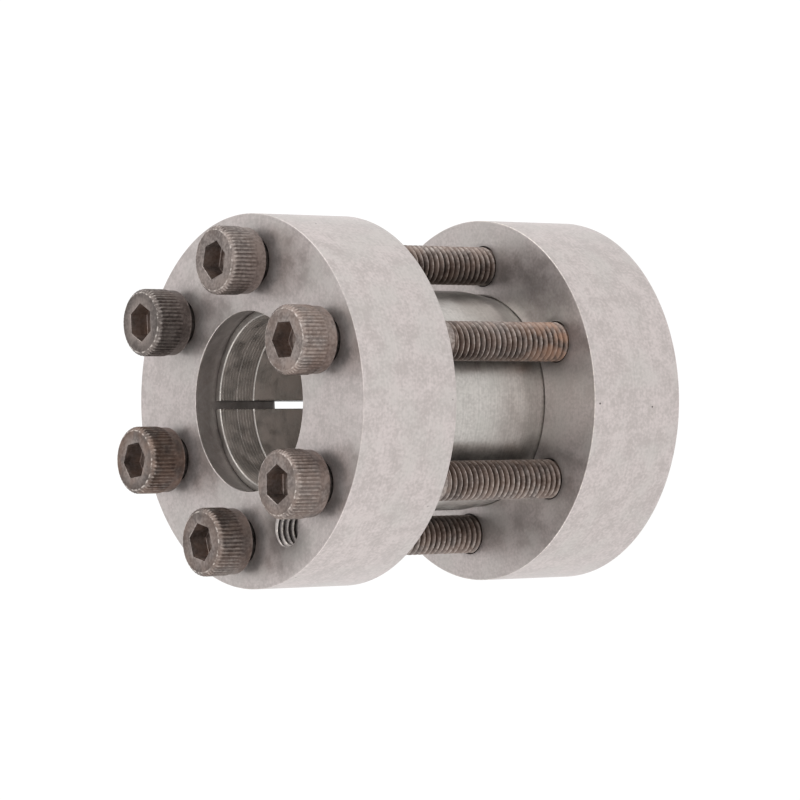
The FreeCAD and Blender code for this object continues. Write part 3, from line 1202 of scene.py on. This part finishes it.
@dataclass
class ClampScrew:
    """A knurled cap screw with a hexagon socket.

    Attributes:
        node: The CAD node that it stands for.
        socket_turn: How far the key left the socket turned, in degrees.
        stain: What has stained the head.
        rust_top: Up to what height of the row frame rust has crept, or 0 for none.
        head_height: Height of the head.
        head_radius: Radius over the knurl.
        base_radius: Radius of the plain collar under the knurl.
        base_height: Height of that collar.
        face_radius: Radius of the flat face.
        bevel: Height of the bevel round that face.
        key_size: Width of the socket across its flats.
        socket_depth: How deep it goes.
        drill_radius: Radius of the drill's cone in its floor.
        grip_radius: Radius of the plain grip.
        grip_length: Length of the grip, from under the head.
        fillet: How far the corner under the head is filled.
        tip_chamfer: How far the tip is bevelled.
        flutes: How many flutes the knurl has.
        flute_depth: How deep they are.
        flute_half_width: Half of their width.
        flute_steps: How many faces go across one flute and its land.
        flute_grime: How dark the dirt in them is.
        socket_marks: The marks on the socket's walls.
        floor_marks: The marks on its floor.
        thread: The thread.
    """

    node: str
    socket_turn: float
    stain: Marks = CLEAN
    rust_top: float = 0.0
    head_height: float = 6.0 * MM
    head_radius: float = 5.02 * MM
    base_radius: float = 4.85 * MM
    base_height: float = 1.7 * MM
    face_radius: float = 4.45 * MM
    bevel: float = 0.55 * MM
    key_size: float = 5.0 * MM
    socket_depth: float = 3.0 * MM
    drill_radius: float = 1.9 * MM
    grip_radius: float = 3.0 * MM
    grip_length: float = 24.5 * MM
    fillet: float = 0.25 * MM
    tip_chamfer: float = 0.6 * MM
    flutes: int = 52
    flute_depth: float = 0.16 * MM
    flute_half_width: float = 0.28 * MM
    flute_steps: int = 8
    flute_grime: float = 0.38
    socket_marks: Marks = Marks(rust=0.26, grime_and_shade=0.12)
    floor_marks: Marks = Marks(wear=0.15, rust=0.1)
    # The thread's flanks and roots are painted darker: dirt and painted shade
    thread: Thread = Thread(outer=2.95 * MM, inner=2.39 * MM, pitch=1.0 * MM, polish=0.38, grime_and_shade=0.95)

    def __post_init__(self) -> None:
        """Read the screw's place and length from the frame."""
        low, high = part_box(self.node)
        self.tip, self.top = low.z, high.z
        self.seat = self.top - self.head_height
        self.centre = ((low.x + high.x) / 2, (low.y + high.y) / 2)

    def _knurl(self, angle: float) -> float:
        """Give the form of the knurl's flutes.

        Args:
            angle: The angle round the head.

        Returns:
            How deep the flute is there, from 0 to 1.
        """
        pitch = FULL_TURN * self.head_radius / self.flutes
        along = (angle / FULL_TURN * self.flutes + 0.5) % 1 - 0.5
        reach = min(1.0, abs(along) * pitch / self.flute_half_width)
        return 0.5 + 0.5 * math.cos(math.pi * reach)

    def _fluted(self, radius: float, share: float, angle: float) -> float:
        """Cut the flutes into a radius.

        Args:
            radius: The radius without them.
            share: How much of their full depth they have there.
            angle: The angle round the head.

        Returns:
            The radius at that angle.
        """
        return radius - share * self.flute_depth * self._knurl(angle)

    def _hexagon(self, shell: Shell, height: float, across: float, marks: Marks) -> Loop:
        """Add a hexagonal loop.

        Args:
            shell: The screw's surface.
            height: Height of the loop.
            across: Width across the hexagon's flats.
            marks: The surface's marks there.

        Returns:
            The loop's points.
        """
        turn = math.radians(self.socket_turn)
        corners = [
            Vector((math.cos(turn + n * math.pi / 3), math.sin(turn + n * math.pi / 3)))
            * (across / 2 / math.cos(math.pi / 6))
            for n in range(6)
        ]
        numbers = []
        steps = 6
        for corner, following in zip(corners, corners[1:] + corners[:1]):
            for step in range(steps):
                place = corner.lerp(following, step / steps)
                here = (self.centre[0] + place.x, self.centre[1] + place.y, height)
                numbers.append(shell.point(here, marks))
        return numbers

    def _head(self, shell: Shell) -> Loop:
        """Build the head.

        Args:
            shell: The screw's surface.

        Returns:
            The loop where its underside meets the grip.
        """
        knurl_start = self.seat + self.base_height
        count = self.flutes * self.flute_steps
        shoulder = self.top - self.bevel
        rim = Marks(wear=1.0)
        rows = [
            (self.seat, self.base_radius - 0.22 * MM, 0.0, Marks(grime_and_shade=0.2)),
            (self.seat + 0.07 * MM, self.base_radius - 0.07 * MM, 0.0, Marks(grime_and_shade=0.1)),
            (self.seat + 0.22 * MM, self.base_radius, 0.0, Marks(wear=0.3)),
            (self.seat + 0.35 * MM, self.base_radius, 0.0, CLEAN),
            (knurl_start - 0.2 * MM, self.base_radius, 0.0, CLEAN),
            (knurl_start, self.base_radius + 0.06 * MM, 0.1, Marks(grime_and_shade=0.1)),
            (knurl_start + 0.2 * MM, self.head_radius - 0.03 * MM, 0.7, Marks(wear=0.12)),
            (knurl_start + 0.45 * MM, self.head_radius, 1.0, Marks(wear=0.16)),
            (shoulder - 0.2 * MM, self.head_radius, 1.0, Marks(wear=0.2)),
            (shoulder, self.head_radius - 0.03 * MM, 1.0, Marks(wear=0.45)),
            (shoulder + self.bevel * 0.35, self.head_radius - 0.15 * MM, 0.75, Marks(wear=0.2)),
            (shoulder + self.bevel * 0.7, self.head_radius - 0.34 * MM, 0.4, Marks(wear=0.1)),
            (self.top - 0.1 * MM, self.face_radius + 0.14 * MM, 0.15, Marks(wear=0.2)),
            (self.top - 0.04 * MM, self.face_radius + 0.05 * MM, 0.05, rim),
            (self.top, self.face_radius - 0.04 * MM, 0.0, rim),
            (self.top, self.face_radius - 0.12 * MM, 0.0, Marks(grime_and_shade=0.1)),
            (self.top, self.face_radius - 0.45 * MM, 0.0, CLEAN),
        ]
        loops = []
        for height, radius, share, marks in rows:
            fluted = partial(self._fluted, radius, share)
            loop = shell.ring(height, fluted, count, self.centre)
            for index, number in enumerate(loop):
                groove = share * self._knurl(FULL_TURN * index / count)
                grime_and_shade = marks.grime_and_shade + (self.flute_grime - marks.grime_and_shade) * groove
                dirt = self.stain.grime_and_shade + grime_and_shade * (1 - self.stain.grime_and_shade)
                shell.marks[number] = Marks(marks.wear * (1 - groove), self.stain.rust, dirt)
            loops.append(loop)
        for first, second in zip(loops, loops[1:]):
            shell.bridge(first, second)
        self._socket(shell, loops[-1])
        neck_radius = self.grip_radius + self.fillet
        neck = shell.ring(self.seat, neck_radius, Thread.COLUMNS, self.centre, Marks(grime_and_shade=0.3))
        shell.fill(loops[0], [neck])
        return neck

    def _socket(self, shell: Shell, face: Loop) -> None:
        """Sink the hexagon socket into the head's face.

        Args:
            shell: The screw's surface.
            face: The outer loop of the flat face.
        """
        lip = 0.07 * MM
        floor = self.top - self.socket_depth
        levels = [
            self._hexagon(shell, self.top, self.key_size + 2 * lip, Marks(rust=self.stain.rust / 2)),
            self._hexagon(shell, self.top - lip, self.key_size, Marks(wear=0.25)),
            self._hexagon(shell, self.top - 0.3 * MM, self.key_size, self.socket_marks),
            self._hexagon(shell, floor + lip, self.key_size, self.socket_marks),
            self._hexagon(shell, floor, self.key_size - 2 * lip, self.floor_marks),
        ]
        shell.fill(face, [levels[0]])
        for first, second in zip(levels, levels[1:]):
            shell.bridge(first, second)
        cone = shell.ring(floor, self.drill_radius, 32, self.centre, self.floor_marks)
        shell.fill(levels[-1], [cone])
        apex = shell.point((*self.centre, floor - self.drill_radius * 0.35), self.floor_marks)
        for index, number in enumerate(cone):
            shell.face([number, cone[(index + 1) % len(cone)], apex])

    def _rust(self, height: float) -> float:
        """Give the rust at a height of the row frame."""
        least, most, fading = 0.16, 0.75, 12 * MM
        return min(most, max(least, (self.rust_top - height) / fading))

    def build(self) -> bpy.types.Object:
        """Build the screw from tip to head.

        Returns:
            The finished object.
        """
        shell = Shell()
        run_out = self.thread.pitch
        thread_end = self.seat - self.grip_length + 1.7 * self.thread.pitch

        def limited(radius: float, height: float) -> float:
            """Cut the tip's chamfer and run the thread out into the grip.

            Args:
                radius: The thread's own radius.
                height: The height.

            Returns:
                The radius to use.
            """
            chamfer = self.thread.outer - self.tip_chamfer + (height - self.tip)
            share = min(1.0, max(0.0, (height - thread_end + run_out) / run_out))
            filled = self.thread.inner + (self.grip_radius - self.thread.inner) * share
            return max(min(radius, chamfer), filled if share > 0 else 0.0)

        tip, neck = self.thread.cut(shell, self.centre, self.tip, thread_end, limited, self._rust)
        shell.fill(tip)
        grip = shell.ring(self.seat - self.fillet, self.grip_radius, Thread.COLUMNS, self.centre)
        bend = 0.28 * self.fillet
        fillet = shell.ring(self.seat - bend, self.grip_radius + bend, Thread.COLUMNS, self.centre)
        under_head = self._head(shell)
        for first, second in ((neck, grip), (grip, fillet), (fillet, under_head)):
            shell.bridge(first, second)
        return shell.build(self.node + "_body")


@dataclass
class LockingAssembly:
    """The whole coupling: two flanges, the sleeve between them and six screws.

    Attributes:
        screw_count: How many screws there are.
        jacking_angle: Where the jacking thread is, in degrees.
        clearance_radius: Radius of the front flange's screw holes.
        socket_turns: How far each screw's socket is turned, in degrees.
        stains: What has stained each screw's head.
        rust_tops: Up to what height rust has crept on each screw, or 0 for none.
    """

    screw_count: int = 6
    jacking_angle: float = -64.2
    clearance_radius: float = 3.3 * MM
    socket_turns: tuple[float, ...] = (1.0, 16.0, 33.0, 7.0, 47.0, 30.0)
    stains: tuple[Marks, ...] = (
        Marks(rust=0.16, grime_and_shade=0.02),
        Marks(rust=0.06, grime_and_shade=0.06),
        Marks(grime_and_shade=0.44),
        Marks(rust=0.24, grime_and_shade=0.54),
        Marks(rust=0.14, grime_and_shade=0.34),
        Marks(rust=0.12, grime_and_shade=0.12),
    )
    rust_tops: tuple[float, ...] = (28.0 * MM, 0.0, 0.0, 0.0, 0.0, 0.0)

    def build(self, effects: SurfaceEffects) -> None:
        """Build and dress every piece.

        Args:
            effects: The shared node groups.
        """
        flange_steel = SteelFinish(
            "flange_steel",
            light=(0.62, 0.557, 0.543),
            dark=(0.476, 0.429, 0.413),
            tint=(0.52, 0.51, 0.48),
            edge=(0.84, 0.78, 0.69),
            film=(0.27, 0.225, 0.2),
            roughness=0.42,
            metallic=0.82,
            marks=0.05,
            pit_size=0.085,
        ).make(effects)
        sleeve_steel = SteelFinish(
            "sleeve_steel",
            light=(0.6, 0.57, 0.54),
            dark=(0.46, 0.435, 0.41),
            tint=(0.46, 0.455, 0.42),
            edge=(0.78, 0.72, 0.66),
            film=(0.45, 0.385, 0.345),
            roughness=0.34,
            metallic=0.88,
            marks=0.12,
            pit_size=0.16,
        ).make(effects)
        screw_steel = OxideFinish(
            "screw_steel",
            light=(0.33, 0.285, 0.265),
            dark=(0.15, 0.125, 0.115),
            tint=(0.25, 0.2, 0.175),
            edge=(0.6, 0.54, 0.5),
            film=(0.38, 0.215, 0.14),
            roughness=0.42,
            metallic=0.85,
        ).make(effects)
        screws = [
            ClampScrew(f"clamp_screw_{k + 1}", self.socket_turns[k], self.stains[k], self.rust_tops[k])
            for k in range(self.screw_count)
        ]
        centres = [screw.centre for screw in screws]
        circle = math.hypot(*centres[0])
        # The tapped holes' roots are painted dark: painted shade inside the holes, with dirt
        tapped = Thread(3.04 * MM, 2.5 * MM, 1.0 * MM, outward=False, polish=0.8, grime_and_shade=0.85)
        # The rear flange's inner face between the flanges is painted darker round one place: oily haze and
        # painted shade
        rear = Flange(Body.REAR_FLANGE.value, nose_up=False, edge_wear=0.6, haze_and_shade=0.42)
        # Painted darker round the rear holes' mouths: dirt and painted shade where the screws enter
        rear.holes = [Hole(centre, 2.5 * MM, 0.66 * MM, tapped, dirt_and_shade=0.3) for centre in centres]
        front = Flange(Body.FRONT_FLANGE.value, nose_up=True)
        # Painted darker round the front holes' mouths: dirt and painted shade beside the screw heads
        front.holes = [Hole(centre, self.clearance_radius, 0.3 * MM, dirt_and_shade=0.3) for centre in centres]
        front.holes.append(Hole(on_circle(circle, self.jacking_angle), 2.5 * MM, 0.3 * MM, tapped))
        self._dress(rear.build(), rear.node, flange_steel, Slot.FLANGE)
        self._dress(front.build(), front.node, flange_steel, Slot.FLANGE)
        sleeve = SplitSleeve(screw_angle=math.degrees(math.atan2(centres[0][1], centres[0][0])))
        self._dress(sleeve.build(), sleeve.node, sleeve_steel, Slot.SLEEVE)
        for screw in screws:
            self._dress(screw.build(), screw.node, screw_steel, Slot.SCREW)

    @staticmethod
    def _dress(piece: bpy.types.Object, node: str, finish: bpy.types.Material, slot: Slot) -> None:
        """Give a piece its finish and let it stand for its CAD node.

        Args:
            piece: The finished object.
            node: The CAD node, which is also its body's name.
            finish: The material.
            slot: The record's material slot; not used.
        """
        piece.data.materials.append(finish)
        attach(piece, node)
        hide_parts(node)
        log.info("%s rides on %s", piece.name, node)


@dataclass(frozen=True)
class Studio:
    """The camera, the white surroundings and the pale floor.

    The camera was fitted to the photograph: its distance and shifts are real lengths, measured from
    the middle of the front flange's outer face.

    Attributes:
        front_face: Height of that face.
        turn: How far round from the shaft axis the camera stands, in degrees.
        pitch: How far it looks up or down, in degrees.
        roll: How far it leans, in degrees.
        distance: How far the face is in front of the camera.
        shift_right: How far right of the camera's axis the face is.
        shift_up: How far above the camera's axis the face is.
        lens: The lens's focal length in millimetres, on a sensor 36 mm wide.
    """

    front_face: float
    turn: float = 51.485
    pitch: float = 0.865
    roll: float = 0.8925
    distance: float = 568.70 * MM
    shift_right: float = -22.215 * MM
    shift_up: float = -0.1943 * MM
    lens: float = 174.97

    def place_camera(self) -> None:
        """Make the camera at the photograph's viewpoint."""
        turn, pitch, roll = (math.radians(a) for a in (self.turn, self.pitch, self.roll))
        right = Vector((math.cos(turn), 0, -math.sin(turn)))
        up = Vector((0, 1, 0))
        away = Vector((-math.sin(turn), 0, -math.cos(turn)))
        tilt = Matrix.Rotation(pitch, 3, right)
        up, away = tilt @ up, tilt @ away
        lean = Matrix.Rotation(roll, 3, away)
        right, up = lean @ right, lean @ up
        place = Vector((0, 0, self.front_face)) - right * self.shift_right - up * self.shift_up
        place -= away * self.distance
        data = bpy.data.cameras.new("camera")
        data.lens = self.lens
        data.sensor_width = 36.0
        data.clip_start = 10 * MM
        camera = bpy.data.objects.new("camera", data)
        axes = Matrix((right, up, -away)).transposed()
        camera.matrix_world = Matrix.Translation(place) @ axes.to_4x4()
        bpy.context.scene.collection.objects.link(camera)
        bpy.context.scene.camera = camera

    def light(self) -> None:
        """Surround the part with soft white light, brighter from above, below and the viewer's side."""
        world = bpy.data.worlds.new("surroundings")
        bpy.context.scene.world = world
        world.use_nodes = True
        recipe = Recipe(world.node_tree)
        sky = recipe.add("ShaderNodeBackground", {"Color": (1.0, 1.0, 1.0), "Strength": 0.92})
        recipe.add("ShaderNodeOutputWorld", {"Surface": sky.outputs[0]})
        self._panel("top_panel", Vector((-0.1, 0.6, 0.3)), 0.5, 1.3)
        self._panel("low_panel", Vector((0.1, -0.6, 0.3)), 0.5, 0.9)
        self._panel("fill_panel", Vector((0.5, 0.12, 0.45)), 0.5, 0.7)

    def _panel(self, name: str, place: Vector, size: float, power: float) -> None:
        """Hang a square soft light, pointed at the part.

        Args:
            name: The light's name.
            place: Where it is.
            size: Its width.
            power: Its power in watts.
        """
        data = bpy.data.lights.new(name, "AREA")
        data.size = size
        data.energy = power
        panel = bpy.data.objects.new(name, data)
        panel.location = place
        aim = Vector((0, 0, self.front_face / 2)) - place
        panel.rotation_mode = "QUATERNION"
        panel.rotation_quaternion = aim.to_track_quat("-Z", "Y")
        bpy.context.scene.collection.objects.link(panel)

    def lay_floor(self) -> None:
        """Lay the pale floor that the rear flange stands on."""
        half = 2.0
        # A hair low, so that it doesn't share the rear flange's lower face
        level = -0.05 * MM
        mesh = bpy.data.meshes.new("floor")
        corners = [(-half, -half, level), (half, -half, level), (half, half, level), (-half, half, level)]
        mesh.from_pydata(corners, [], [(0, 1, 2, 3)])
        floor = bpy.data.objects.new("floor", mesh)
        bpy.context.scene.collection.objects.link(floor)
        material = bpy.data.materials.new("pale_floor")
        material.use_nodes = True
        recipe = Recipe(material.node_tree)
        shader = recipe.add(
            "ShaderNodeBsdfPrincipled",
            {
                "Base Color": (0.06, 0.06, 0.06),
                "Roughness": 0.9,
                "Emission Color": (1.0, 1.0, 1.0),
                "Emission Strength": 0.95,
            },
        )
        recipe.add("ShaderNodeOutputMaterial", {"Surface": shader.outputs[0]})
        mesh.materials.append(material)


def main() -> None:
    """Build the part and the studio."""
    logging.basicConfig(level=logging.INFO, format="%(message)s")
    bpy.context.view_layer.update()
    _, front_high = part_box(Body.FRONT_FLANGE.value)
    bpy.context.scene.view_settings.view_transform = "Standard"
    studio = Studio(front_face=front_high.z)
    studio.place_camera()
    studio.light()
    studio.lay_floor()
    LockingAssembly().build(SurfaceEffects())


if __name__ == "__main__":
    main()
